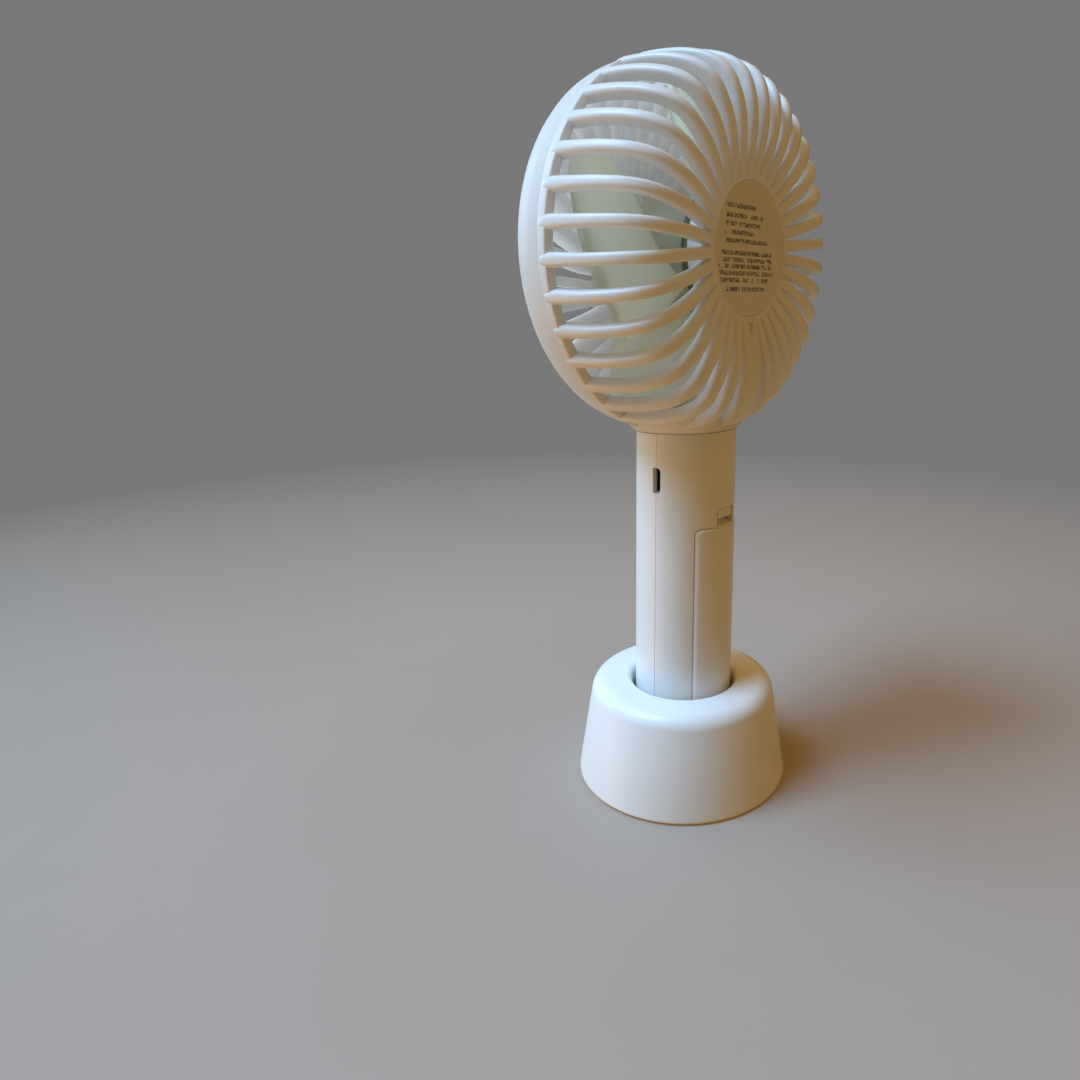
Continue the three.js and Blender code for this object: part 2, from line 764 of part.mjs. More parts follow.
function frontGuard() {
  const ring = ringY(
    [
      [RING_IN, -8.35],
      [48.4, -8.35],
      [47.9, -12],
      [47, -15],
      [45.5, -17.3],
      [43.8, -18.5],
      [42.8, -17.6],
    ],
    HEAD_ROUND,
  );
  const patch = ringY([[46.6, -8.35], [50, -8.35], [49.6, -12], [48.6, -15.2], [46, -15.2]], HEAD_ROUND);
  const neck = solid(patch).intersect(solid(rodZ(SADDLE_R, -56, -30, 0, 0, 24)));
  const disc = turnedY(
    [
      [0, -18.6],
      [11, -18.6],
      [11, -19.9],
      [12.9, -19.9],
      [13.6, -19.1],
      [13.6, -13.9],
      [12, -13.9],
      [12, -17.1],
      [0, -17.1],
    ],
    36,
  );
  const fins = Array.from({ length: RIBS }, (_, i) => solid(fin((360 / RIBS) * i - 2)));
  return unite(solid(ring), neck, solid(disc), ...fins).simplify(TIDY);
}

place(head, 'front_guard', frontGuard(), 'white_plastic');
place(head, 'front_cap', turnedY(discProfile(10.7, -20.1, -18.9), 36), 'label');

export default fan;
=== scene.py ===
"""Looks of the handheld electric fan in its round base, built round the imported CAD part."""

import math

import bmesh
import bpy
from mathutils import Matrix, Vector


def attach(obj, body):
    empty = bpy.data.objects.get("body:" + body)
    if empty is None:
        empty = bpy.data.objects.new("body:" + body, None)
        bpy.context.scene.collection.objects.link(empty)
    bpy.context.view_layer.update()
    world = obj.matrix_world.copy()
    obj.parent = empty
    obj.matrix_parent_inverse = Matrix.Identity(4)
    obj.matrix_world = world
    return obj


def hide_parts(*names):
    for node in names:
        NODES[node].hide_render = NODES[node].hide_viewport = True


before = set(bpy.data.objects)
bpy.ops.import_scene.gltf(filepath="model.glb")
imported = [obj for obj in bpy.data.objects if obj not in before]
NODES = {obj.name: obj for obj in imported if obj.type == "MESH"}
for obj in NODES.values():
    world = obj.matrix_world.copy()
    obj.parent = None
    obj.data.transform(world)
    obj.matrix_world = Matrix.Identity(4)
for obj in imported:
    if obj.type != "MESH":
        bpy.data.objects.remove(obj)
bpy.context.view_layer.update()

MM = 0.001
HEAD_Z = 151.8  # height of the fan's axis
GAP = 0.3  # clearance between neighbouring pieces
SEAM = 0.14  # visible parting line between the two handle shells
HANDLE_R, HANDLE_IN = 14, 12  # outside and inside radius of the handle
FOOT_Z = 9.6  # underside of the handle, standing in the base
SOCKET_R = 15.25  # radius of the base's socket
RING_REAR, RING_FRONT = -8.18, -8.22  # where the rear and the front ring of the head meet
RING_IN = 46.6  # inside radius of both rings

# ---- camera --------------------------------------------------------------------------------


def swing(a, b, angle):
    """Two unit vectors turned in their own plane, a towards b."""
    c, s = math.cos(angle), math.sin(angle)
    return a * c + b * s, b * c - a * s


def make_camera():
    """The photograph's camera: a phone held close, level with the head, looking slightly down."""
    azimuth, distance, height = math.radians(125.007), 220.53, 140.91
    yaw, pitch, roll = (math.radians(a) for a in (-0.773, -11.654, 0.706))
    up = Vector((0, 0, 1))
    ahead = Vector((-math.sin(azimuth), math.cos(azimuth), 0))
    side = Vector((math.cos(azimuth), math.sin(azimuth), 0))
    ahead, side = swing(ahead, side, yaw)
    ahead, up = swing(ahead, up, pitch)
    side, up = swing(side, up, roll)
    data = bpy.data.cameras.new("camera")
    data.sensor_width = 36
    data.lens = 26.54
    data.shift_x = -0.1255
    data.shift_y = -0.0775
    data.clip_start = 0.01
    data.clip_end = 20
    camera = bpy.data.objects.new("camera", data)
    bpy.context.scene.collection.objects.link(camera)
    place = Matrix((side, up, -ahead)).transposed().to_4x4()
    away = Vector((math.sin(azimuth), -math.cos(azimuth), 0))
    place.translation = (away * distance + Vector((0, 0, height))) * MM
    camera.matrix_world = place
    bpy.context.scene.camera = camera


make_camera()

# ---- node helpers --------------------------------------------------------------------------


class Nodes:
    """Short forms for the node trees of the procedural materials."""

    def __init__(self, name):
        self.material = bpy.data.materials.new(name)
        self.material.use_nodes = True
        self.tree = self.material.node_tree
        self.shader = self.tree.nodes["Principled BSDF"]
        self.output = self.tree.nodes["Material Output"]
        self.where = self.node("ShaderNodeTexCoord").outputs["Object"]

    def node(self, kind, **settings):
        made = self.tree.nodes.new(kind)
        for key, value in settings.items():
            setattr(made, key, value)
        return made

    def join(self, source, target):
        self.tree.links.new(source, target)
        return target

    def feed(self, socket, value):
        if isinstance(value, bpy.types.NodeSocket):
            self.join(value, socket)
        else:
            socket.default_value = value

    def math(self, kind, a, b=0.0):
        made = self.node("ShaderNodeMath", operation=kind)
        for socket, value in zip(made.inputs, (a, b)):
            self.feed(socket, value)
        return made.outputs[0]

    def stretch(self, scale):
        """Object coordinates scaled unevenly, to draw a texture out in one direction."""
        made = self.node("ShaderNodeMapping")
        self.join(self.where, made.inputs["Vector"])
        made.inputs["Scale"].default_value = scale
        return made.outputs[0]

    def along(self, axis):
        """One of the object coordinates, in metres."""
        made = self.node("ShaderNodeSeparateXYZ")
        self.join(self.where, made.inputs[0])
        return made.outputs[axis]

    def noise(self, scale, detail=3.0, roughness=0.5, where=None, distortion=0.0):
        made = self.node("ShaderNodeTexNoise")
        self.join(where or self.where, made.inputs["Vector"])
        made.inputs["Scale"].default_value = scale
        made.inputs["Detail"].default_value = detail
        made.inputs["Roughness"].default_value = roughness
        made.inputs["Distortion"].default_value = distortion
        return made.outputs["Fac"]

    def cell_edges(self, scale):
        made = self.node("ShaderNodeTexVoronoi", feature="DISTANCE_TO_EDGE")
        self.join(self.where, made.inputs["Vector"])
        made.inputs["Scale"].default_value = scale
        return made.outputs[0]

    def remap(self, source, low, high, start=0.0, end=1.0):
        """low to high while the source goes from start to end, held level outside that."""
        made = self.node("ShaderNodeMapRange")
        made.clamp = True
        self.join(source, made.inputs["Value"])
        made.inputs["From Min"].default_value = start
        made.inputs["From Max"].default_value = end
        made.inputs["To Min"].default_value = low
        made.inputs["To Max"].default_value = high
        return made.outputs[0]

    def blend(self, share, a, b):
        """Colour a where the share is 0 and colour b where it is 1."""
        made = self.node("ShaderNodeMix", data_type="RGBA", blend_type="MIX")
        self.feed(made.inputs["Factor"], share)
        self.feed(made.inputs[6], a if isinstance(a, bpy.types.NodeSocket) else (*a, 1.0))
        self.feed(made.inputs[7], b if isinstance(b, bpy.types.NodeSocket) else (*b, 1.0))
        return made.outputs[2]

    def bump(self, height, strength, distance):
        made = self.node("ShaderNodeBump")
        self.join(height, made.inputs["Height"])
        made.inputs["Strength"].default_value = strength
        made.inputs["Distance"].default_value = distance
        return made.outputs[0]

    def finish(self, color, roughness, normal=None, **fixed):
        self.feed(self.shader.inputs["Base Color"], color)
        self.feed(self.shader.inputs["Roughness"], roughness)
        if normal:
            self.join(normal, self.shader.inputs["Normal"])
        for key, value in fixed.items():
            self.shader.inputs[key.replace("_", " ")].default_value = value
        return self.material


def grain(n, light, dark, low, high, bump=0.05):
    """Moulded plastic: slow tone drift, fine spark-eroded texture and slightly uneven gloss."""
    drift = n.noise(45.0, 2.0)
    texture = n.noise(2700.0, 2.0)
    color = n.blend(n.remap(drift, 0, 1, 0.3, 0.7), light, dark)
    roughness = n.math("ADD", n.remap(n.noise(180.0, 3.0), low, high), n.remap(drift, -0.02, 0.02))
    return color, roughness, n.bump(texture, bump, 0.0001)


def plastic(name, light, dark, low, high, bump=0.05):
    """Moulded plastic between two tones, its roughness between low and high."""
    n = Nodes(name)
    color, roughness, normal = grain(n, light, dark, low, high, bump)
    return n.finish(color, roughness, normal)


def metal(name, light, dark, low, high, lines=(40, 40, 4000)):
    """Metal with stains between two tones and fine lines, closest along the axis scaled most."""
    n = Nodes(name)
    brushed = n.noise(1.0, 3.0, 0.6, n.stretch(lines))
    stain = n.noise(400.0, 4.0)
    color = n.blend(n.remap(stain, 0, 1, 0.35, 0.7), light, dark)
    roughness = n.remap(brushed, low, high, 0.3, 0.7)
    return n.finish(color, roughness, n.bump(brushed, 0.15, 0.00005), Metallic=1.0)


WHITE = plastic("white_plastic", (0.84, 0.85, 0.86), (0.80, 0.81, 0.82), 0.30, 0.40)
WHITE_MATT = plastic("white_inner", (0.82, 0.83, 0.83), (0.78, 0.79, 0.79), 0.42, 0.55, bump=0.1)
BLACK = plastic("black_plastic", (0.02, 0.02, 0.022), (0.012, 0.012, 0.013), 0.35, 0.5)
STEEL = metal("bright_steel", (0.62, 0.62, 0.63), (0.45, 0.45, 0.46), 0.22, 0.38)
PLATED = metal("nickel_plate", (0.72, 0.71, 0.68), (0.6, 0.58, 0.54), 0.12, 0.25, (300, 300, 300))
COPPER = metal("enamelled_copper", (0.75, 0.33, 0.14), (0.5, 0.19, 0.07), 0.2, 0.35, (3000, 200, 200))
BRONZE = metal("sintered_bronze", (0.5, 0.34, 0.16), (0.35, 0.23, 0.1), 0.4, 0.6, (900, 900, 900))
MAGNET = plastic("ferrite", (0.06, 0.06, 0.065), (0.03, 0.03, 0.032), 0.6, 0.8, bump=0.4)
WRAP = plastic("cell_wrap", (0.03, 0.12, 0.33), (0.02, 0.09, 0.27), 0.22, 0.34)
RED = plastic("red_insulation", (0.5, 0.02, 0.02), (0.4, 0.015, 0.015), 0.3, 0.45)
INK = plastic("black_insulation", (0.02, 0.02, 0.02), (0.012, 0.012, 0.012), 0.3, 0.45)
FOAM = plastic("pad_foam", (0.07, 0.07, 0.072), (0.04, 0.04, 0.042), 0.85, 0.97, bump=0.8)
LAMP = plastic("clear_plastic", (0.8, 0.84, 0.88), (0.74, 0.78, 0.82), 0.08, 0.16, bump=0.02)


def let_light_through(n, color, share):
    """Thin moulded plastic passes some of the light that falls on its far side."""
    glow = n.node("ShaderNodeBsdfTranslucent")
    n.join(color, glow.inputs["Color"])
    mix = n.node("ShaderNodeMixShader")
    mix.inputs["Fac"].default_value = share
    n.join(n.shader.outputs[0], mix.inputs[1])
    n.join(glow.outputs[0], mix.inputs[2])
    n.join(mix.outputs[0], n.output.inputs["Surface"])
    return n.material


def guard_material(name, light, dark, share):
    """White plastic that passes a share of the light behind it."""
    n = Nodes(name)
    color, roughness, normal = grain(n, light, dark, 0.30, 0.40)
    n.finish(color, roughness, normal)
    return let_light_through(n, color, share)


REAR_GUARD = guard_material("ribbed_white_plastic", (0.91, 0.905, 0.90), (0.88, 0.875, 0.87), 0.21)
FRONT_GUARD = guard_material("thin_white_plastic", (0.99, 0.99, 0.99), (0.96, 0.96, 0.96), 0.55)


def blade_material():
    """Translucent pale green plastic with faint flow lines from the hub to the tips."""
    n = Nodes("blade_plastic")
    flow = n.noise(1.0, 3.0, 0.55, n.stretch((180, 60, 60)), 0.8)
    color = n.blend(n.remap(flow, 0, 1, 0.32, 0.7), (0.99, 0.99, 0.92), (0.96, 0.96, 0.82))
    # painted shade: the cup's open rim gets a dark olive band where it lies in shadow
    rim = n.remap(n.along("Y"), 0, 1, 0.0086, 0.0088)
    color = n.blend(rim, color, (0.34, 0.36, 0.22))
    roughness = n.remap(n.noise(220.0, 3.0), 0.12, 0.22)
    normal = n.bump(flow, 0.12, 0.0003)
    n.finish(color, roughness, normal, Specular_IOR_Level=1.0)
    return let_light_through(n, color, 0.84)


BLADE = blade_material()


def socket_material():
    """Folded steel, bright at the lip, with painted shade darkening it to near black further in."""
    n = Nodes("socket_steel")
    # painted shade: the steel turns near black with depth into the slot
    depth = n.remap(n.along("X"), 1, 0, 0.0122, 0.01255)
    scuffs = n.noise(900.0, 4.0)
    lip = n.blend(n.remap(scuffs, 0, 1, 0.35, 0.7), (0.62, 0.62, 0.63), (0.4, 0.4, 0.41))
    color = n.blend(depth, lip, (0.012, 0.012, 0.013))
    return n.finish(color, n.remap(scuffs, 0.3, 0.5), n.bump(scuffs, 0.1, 0.00005), Metallic=0.6)


SOCKET = socket_material()


def board_material():
    """Green solder mask with lighter tracks under it."""
    n = Nodes("circuit_board")
    track = n.cell_edges(420.0)
    line = n.remap(track, 1, 0, 0.02, 0.06)
    color = n.blend(line, (0.012, 0.12, 0.035), (0.03, 0.22, 0.08))
    return n.finish(color, n.remap(n.noise(700.0), 0.25, 0.4), n.bump(line, 0.3, 0.0001))


BOARD = board_material()

# ---- mesh helpers --------------------------------------------------------------------------


def new_object(name, vertices, faces):
    mesh = bpy.data.meshes.new(name)
    mesh.from_pydata([Vector(v) * MM for v in vertices], [], faces)
    shape = bmesh.new()
    shape.from_mesh(mesh)
    bmesh.ops.remove_doubles(shape, verts=shape.verts, dist=1e-7)
    bmesh.ops.dissolve_degenerate(shape, edges=shape.edges, dist=1e-7)
    bmesh.ops.recalc_face_normals(shape, faces=shape.faces)
    shape.to_mesh(mesh)
    shape.free()
    made = bpy.data.objects.new(name, mesh)
    bpy.context.scene.collection.objects.link(made)
    return made


def loft(name, rings, closed=False):
    """A skin over rings with equal counts of points, capped at its ends unless it is closed."""
    count = len(rings[0])
    vertices = [p for ring in rings for p in ring]
    faces = []
    spans = len(rings) if closed else len(rings) - 1
    for i in range(spans):
        a, b = i * count, (i + 1) % len(rings) * count
        faces += [(a + j, a + (j + 1) % count, b + (j + 1) % count, b + j) for j in range(count)]
    if not closed:
        last = (len(rings) - 1) * count
        faces += [tuple(range(count))[::-1], tuple(last + j for j in range(count))]
    return new_object(name, vertices, faces)


def fillet(points, steps=5):
    """A polygon of (a, b) or (a, b, radius): each corner with a radius becomes an arc."""
    out = []
    n = len(points)
    for i, point in enumerate(points):
        here = Vector(point[:2])
        radius = point[2] if len(point) > 2 else 0
        before, after = Vector(points[i - 1][:2]) - here, Vector(points[(i + 1) % n][:2]) - here
        if radius <= 0 or before.length < 1e-9 or after.length < 1e-9:
            out.append(tuple(here))
            continue
        a, b = before.normalized(), after.normalized()
        half = a.angle(b) / 2
        cut = min(radius / math.tan(half), before.length * 0.49, after.length * 0.49)
        radius = cut * math.tan(half)
        centre = here + (a + b).normalized() * (radius / math.sin(half))
        start, end = here + a * cut - centre, here + b * cut - centre
        turn = start.angle_signed(end)
        for k in range(steps + 1):
            spin = Matrix.Rotation(-turn * k / steps, 2)
            out.append(tuple(centre + spin @ start))
    return out


def turned(name, profile, facets=128, axis="Z", lift=0.0):
    """A profile of (radius, height) turned about the axis, which is moved up by lift."""
    rings = []
    for i in range(facets):
        angle = 2 * math.pi * i / facets
        c, s = math.cos(angle), math.sin(angle)
        if axis == "Z":
            rings.append([(r * c, r * s, h + lift) for r, h in profile])
        else:
            rings.append([(r * c, h, r * s + lift) for r, h in profile])
    return loft(name, rings, closed=True)


def rod(name, radius, low, high, facets, axis="Z", lift=0.0):
    """A plain round bar between two heights on its axis."""
    return turned(name, [(0, low), (radius, low), (radius, high), (0, high)], facets, axis, lift)


def shifted(made, x, y=0):
    """The object with its mesh moved sideways."""
    made.data.transform(Matrix.Translation(Vector((x, y, 0)) * MM))
    return made


def block(name, x, y, z):
    """A box between two values on each axis."""
    corners = [(x[i], y[j], z[k]) for i in (0, 1) for j in (0, 1) for k in (0, 1)]
    sides = [(0, 1, 3, 2), (4, 6, 7, 5), (0, 4, 5, 1), (2, 3, 7, 6), (0, 2, 6, 4), (1, 5, 7, 3)]
    return new_object(name, corners, sides)


def prism(name, outline, low, high, axis):
    """An outline given depth: (y, z) along X or (x, z) along Y."""
    if axis == "X":
        rings = [[(d, a, b) for a, b in outline] for d in (low, high)]
    else:
        rings = [[(a, d, b) for a, b in outline] for d in (low, high)]
    return loft(name, rings)


def combine(kind, body, *others):
    """Joins or cuts solids for good. The others are used up."""
    for other in others:
        change = body.modifiers.new("solid", "BOOLEAN")
        change.operation = kind
        change.solver = "MANIFOLD"
        change.object = other
        bpy.context.view_layer.update()
        result = body.evaluated_get(bpy.context.evaluated_depsgraph_get())
        shape = bpy.data.meshes.new_from_object(result)
        body.modifiers.clear()
        old = body.data
        body.data = shape
        bpy.data.meshes.remove(old)
        bpy.data.objects.remove(other)
    return body


def unite(body, *others):
    return combine("UNION", body, *others)


def cut(body, *others):
    return combine("DIFFERENCE", body, *others)


def keep(body, *others):
    return combine("INTERSECT", body, *others)


def smooth(made, angle=35):
    made.data.polygons.foreach_set("use_smooth", [True] * len(made.data.polygons))
    made.data.set_sharp_from_angle(angle=math.radians(angle))
    return made


def piece(made, body, material, slot, *nodes, angle=35):
    """Finishes a piece: shading, material, the body it rides on and the CAD nodes it stands for."""
    smooth(made, angle)
    made.data.materials.clear()
    made.data.materials.append(material)
    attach(made, body)
    if nodes:
        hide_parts(*nodes)
    return made


def spline(points, count):
    """Evenly spread points on a smooth curve through the given ones, ends included."""
    padded = [points[0], *points, points[-1]]
    fine = []
    for i in range(1, len(padded) - 2):
        p = [Vector(q) for q in padded[i - 1 : i + 3]]
        for k in range(24):
            t = k / 24
            square = (2 * p[0] - 5 * p[1] + 4 * p[2] - p[3]) * t * t
            cube = (3 * p[1] - p[0] - 3 * p[2] + p[3]) * t**3
            fine.append(0.5 * (2 * p[1] + (p[2] - p[0]) * t + square + cube))
    fine.append(Vector(points[-1]))
    along = [0.0]
    for a, b in zip(fine, fine[1:]):
        along.append(along[-1] + (b - a).length)
    out, j = [], 0
    for i in range(count):
        want = along[-1] * i / (count - 1)
        while j < len(along) - 2 and along[j + 1] < want:
            j += 1
        share = (want - along[j]) / max(along[j + 1] - along[j], 1e-9)
        out.append(fine[j].lerp(fine[j + 1], min(max(share, 0), 1)))
    return out


def ease(value, start, end):
    """0 before start, 1 after end, smooth between."""
    t = min(max((value - start) / (end - start), 0.0), 1.0)
    return t * t * (3 - 2 * t)


# ---- base ----------------------------------------------------------------------------------


def make_base():
    profile = fillet(
        [
            (0, 7.7),
            (17, 7.7, 0.5),
            (17, 27.4, 0.5),
            (22.4, 27.4, 2),
            (24.9, 24.7, 1),
            (28.95, 0.3),
            (30.9, 0.3, 0.8),
            (26.35, 29.3, 4.6),
            (SOCKET_R, 29.3, 1.7),
            (SOCKET_R, 9.3, 0.6),
            (0, 9.3),
        ],
        8,
    )
    shell = turned("base_cup", profile, 160)
    for angle in (90, 210, 330):  # the three screw bosses under the plate
        x, y = 21.5 * math.cos(math.radians(angle)), 21.5 * math.sin(math.radians(angle))
        unite(shell, shifted(rod("boss", 2.8, 2.6, 28, 32), x, y))
        cut(shell, shifted(rod("pilot", 1.2, 2, 12, 24), x, y))
    piece(shell, "base", WHITE, "white_plastic", "base_shell")


make_base()

# ---- head: shared lines --------------------------------------------------------------------

RIBS = 36
RIB_WIDE, RIB_DEEP = 2.9, 3.35
# a rib's width at its first points as a share of the full width: a narrow tip, then a flare
RIB_FLARE = [0.5, 0.95, 1.25, 1.2, 1.12, 1.06, 1.02]
# the outer edge of a rib from the ring to the hub, as (radius, depth)
RIDGE = [
    (49.04, -5.6),
    (48.94, 0.0),
    (48.2, 6.7),
    (46.3, 13.4),
    (43.1, 18.1),
    (37.8, 20.7),
    (29.4, 21.5),
    (17.6, 19.5),
]
# outer radius of the neck patch at depths from front to rear, as (depth, radius)
SADDLE = [(-16.5, 48.3), (-12, 49.6), (-8, 50), (0, 50), (8, 49), (13.2, 47.6), (18, 45.2)]


def saddle_radius(y):
    """Outer radius of the smooth neck patch under the head."""
    for (y0, r0), (y1, r1) in zip(SADDLE, SADDLE[1:]):
        if y <= y1:
            return r0 + (r1 - r0) * min(max((y - y0) / (y1 - y0), 0), 1)
    return SADDLE[-1][1]


def neck_patch(low, high):
    """The part of the neck patch between two depths, its rim sinking into the ribs and ring."""
    steps, turns = 14, 96
    reach, wall, sink = 17.6, 3.4, 3.2
    outer, inner = [], []
    for i in range(1, steps + 1):
        rho = reach * i / steps
        ring_out, ring_in = [], []
        for k in range(turns):
            angle = 2 * math.pi * k / turns
            x, y = rho * math.cos(angle), rho * math.sin(angle)
            r = saddle_radius(y) - sink * ease(rho, 14.2, 18.2)
            ring_out.append((x, y, HEAD_Z - math.sqrt(r * r - x * x)))
            r = min(saddle_radius(y) - wall, RING_IN)
            ring_in.append((x, y, HEAD_Z - math.sqrt(r * r - x * x)))
        outer.append(ring_out)
        inner.append(ring_in)
    patch = loft("neck_patch", outer + inner[::-1])
    return keep(patch, block("slab", (-30, 30), (low, high), (80, 125)))


def inward_at(points, i):
    """Unit vector into the head, square to a line of (radius, depth) points."""
    along = (points[min(i + 1, len(points) - 1)] - points[max(i - 1, 0)]).normalized()
    return Vector((-along.y, along.x))


def carried(points, i, outline, sunk=0.0):
    """An outline of (sideways, inwards) at one of the points, as (radius, depth, sideways)."""
    inward = inward_at(points, i)
    ring = []
    for sideways, deep in outline:
        at = points[i] + inward * (deep + sunk)
        ring.append((at.x, at.y, sideways))
    return ring


def rib_rings(points):
    """A rounded bar along the points, rounder outside than inside."""
    rings = []
    for i in range(len(points)):
        half = RIB_WIDE * (RIB_FLARE[i] if i < len(RIB_FLARE) else 1) / 2
        outside = [(-half, 0, half * 0.68), (half, 0, half * 0.68)]
        inside = [(half, RIB_DEEP, half * 0.5), (-half, RIB_DEEP, half * 0.5)]
        rings.append(carried(points, i, fillet(outside + inside, 3)))
    return rings


def spun(rings, angle):
    """Rings drawn in the plane of radius and depth, turned to their place round the head."""
    c, s = math.cos(angle), math.sin(angle)
    return [[(r * c - w * s, y, HEAD_Z + r * s + w * c) for r, y, w in ring] for ring in rings]


def rear_ring():
    profile = [(RING_IN, RING_REAR), (48.4, RING_REAR, 0.1), (48.9, -5.5, 0.6), (RING_IN, -4.2, 0.5)]
    return turned("rear_guard_body", fillet(profile, 6), 180, "Y", HEAD_Z)


def hub():
    """The middle of the rear guard, with a seat for the disc behind and a rim for the motor."""
    profile = [
        (0, 15.7),
        (14.2, 15.7, 0.4),
        (14.2, 10.4, 0.2),
        (16, 10.4, 0.3),
        (16, 14.6, 0.8),
        (18.7, 14.6, 0.6),
        (18.9, 19.4, 0.9),
        (16.9, 19.5, 0.2),
        (16.9, 18.4, 0.1),
        (0, 18.4),
    ]
    return turned("hub", fillet(profile, 4), 144, "Y", HEAD_Z)


def spigot():
    """The neck tube with its collar, which the two handle shells close round."""
    profile = [(0, -55.3), (9.9, -55.3), (9.9, -53.8), (7.9, -53.8), (7.9, -46.8), (0, -46.8)]
    return turned("spigot", profile, 64, "Z", HEAD_Z)


def add_lead_duct(guard, path):
    """The broad duct that carries the leads from the motor to the neck, and the ways through it."""
    outline = fillet([(-4, 0, 1.2), (4, 0, 1.2), (4, 3.9, 0.3), (-4, 3.9, 0.3)], 4)
    duct = [carried(path, i, outline, -0.1) for i in range(6, len(path))]
    unite(guard, loft("duct", spun(duct, -math.pi / 2)))
    outline = [(-2.2, 1.4), (2.2, 1.4), (2.2, 6), (-2.2, 6)]
    channel = [carried(path, i, outline) for i in range(4, len(path))]
    unite(guard, spigot())
    cut(guard, loft("channel", spun(channel, -math.pi / 2)))
    cut(guard, rod("bore", 6.2, -57, -44.5, 48, "Z", HEAD_Z))
    cut(guard, block("lead_slot", (-2.4, 2.4), (10, 14.6), (HEAD_Z - 17.5, HEAD_Z - 13)))


def make_rear_guard():
    path = spline(RIDGE, 26)
    rib = rib_rings([Vector((48.35, -8.1)), Vector((48.8, -7)), *path])
    guard = rear_ring()
    unite(guard, hub(), neck_patch(RING_REAR, 14.6))
    for i in range(RIBS):
        unite(guard, loft("rib", spun(rib, (i + 0.5) * 2 * math.pi / RIBS)))
    add_lead_duct(guard, path)
    for x in (-7.5, 7.5):  # motor screws and the recesses for their heads
        for r, low in ((1.2, 14), (2.2, 16.4)):
            cut(guard, shifted(rod("hole", r, low, 19, 32, "Y", HEAD_Z), x))
    # small moulded notch where the duct meets the disc
    notch = [(-1.4, -18.6), (1.4, -18.6), (0.5, -21.4), (-0.5, -21.4)]
    cut(guard, prism("notch", [(x, HEAD_Z + z) for x, z in notch], 19.2, 24, "Y"))
    piece(guard, "fan", REAR_GUARD, "white_plastic", "rear_guard", angle=40)


make_rear_guard()

# ---- front guard ---------------------------------------------------------------------------


FIN_START, FIN_END = 12.6, 44.4  # radii between which a fin runs, from the disc into the ring
FIN_ROOT, FIN_TIP = 1.5, 2.3  # a fin's width at those radii


def fin_front(r):
    """Depth of a fin's front edge, which falls back a little towards the ring."""
    return -19.6 + 1.1 * (r / 44) ** 4


def fin_rear(r):
    """Depth of a fin's rear edge, which comes forward towards the disc."""
    return -11.2 - 1.2 * max(0.0, 1 - r / 26)


def fin_turn(r):
    """How far a fin has swept round the head at a radius, which is most at its root."""
    return math.radians(-24 * (max(0.0, 42 - r) / 29) ** 1.6)


def make_fin(start):
    rings, steps, nearby = [], 22, 0.2
    for i in range(steps + 1):
        r = FIN_START + (FIN_END - FIN_START) * i / steps
        half = (FIN_ROOT + (FIN_TIP - FIN_ROOT) * i / steps) / 2
        front, rear = fin_front(r), fin_rear(r)
        outline = [(-half, rear, 0.5), (half, rear, 0.5), (half, front, 0.7), (-half, front, 0.7)]
        slope = (fin_turn(r + nearby) - fin_turn(r - nearby)) / (2 * nearby) * r
        lean, angle = math.atan(slope), start + fin_turn(r)
        ring = []
        for w, y in fillet(outline, 3):
            out, across = r - w * math.sin(lean), w * math.cos(lean)
            x = out * math.cos(angle) - across * math.sin(angle)
            z = out * math.sin(angle) + across * math.cos(angle)
            ring.append((x, y, HEAD_Z + z))
        rings.append(ring)
    return loft("fin", rings)


def front_ring():
    profile = [
        (RING_IN, RING_FRONT),
        (48.4, RING_FRONT, 0.1),
        (47.9, -12, 6),
        (47, -15, 4),
        (45.6, -17.4, 3),
        (43.8, -18.6, 0.7),
        (42.8, -17.6, 0.6),
    ]
    return turned("front_guard_body", fillet(profile, 5), 180, "Y", HEAD_Z)


def front_disc():
    """The disc that the fins start from, with a raised rim round the cap."""
    profile = [
        (0, -18.6),
        (11, -18.6, 0.2),
        (11, -19.9, 0.2),
        (13.1, -19.9, 0.5),
        (13.6, -19.1, 0.3),
        (13.6, -13.9, 0.4),
        (12, -13.9, 0.3),
        (12, -17.1, 0.5),
        (0, -17.1),
    ]
    return turned("disc", fillet(profile, 4), 128, "Y", HEAD_Z)


def make_front_guard():
    guard = front_ring()
    unite(guard, front_disc(), neck_patch(-15.2, RING_FRONT))
    for i in range(RIBS):
        unite(guard, make_fin(math.radians(360 / RIBS * i - 2)))
    piece(guard, "fan", FRONT_GUARD, "white_plastic", "front_guard", angle=40)
    cap_profile = fillet([(0, -18.9), (10.7, -18.9, 0.15), (10.7, -20.1, 0.35), (0, -20.1)], 4)
    cap = turned("front_cap_disc", cap_profile, 96, "Y", HEAD_Z)
    piece(cap, "fan", WHITE_MATT, "label", "front_cap")


make_front_guard()

# ---- handle --------------------------------------------------------------------------------


BUTTON_Z, LAMP_Z = 90, 84
TUBE_TOP = 100  # nominal; the tube is coped to the head above this height


def coped_top(x, y):
    """Height at which the tube meets the neck patch, less the parting line."""
    r = saddle_radius(y) + SEAM
    return HEAD_Z - math.sqrt(r * r - x * x)


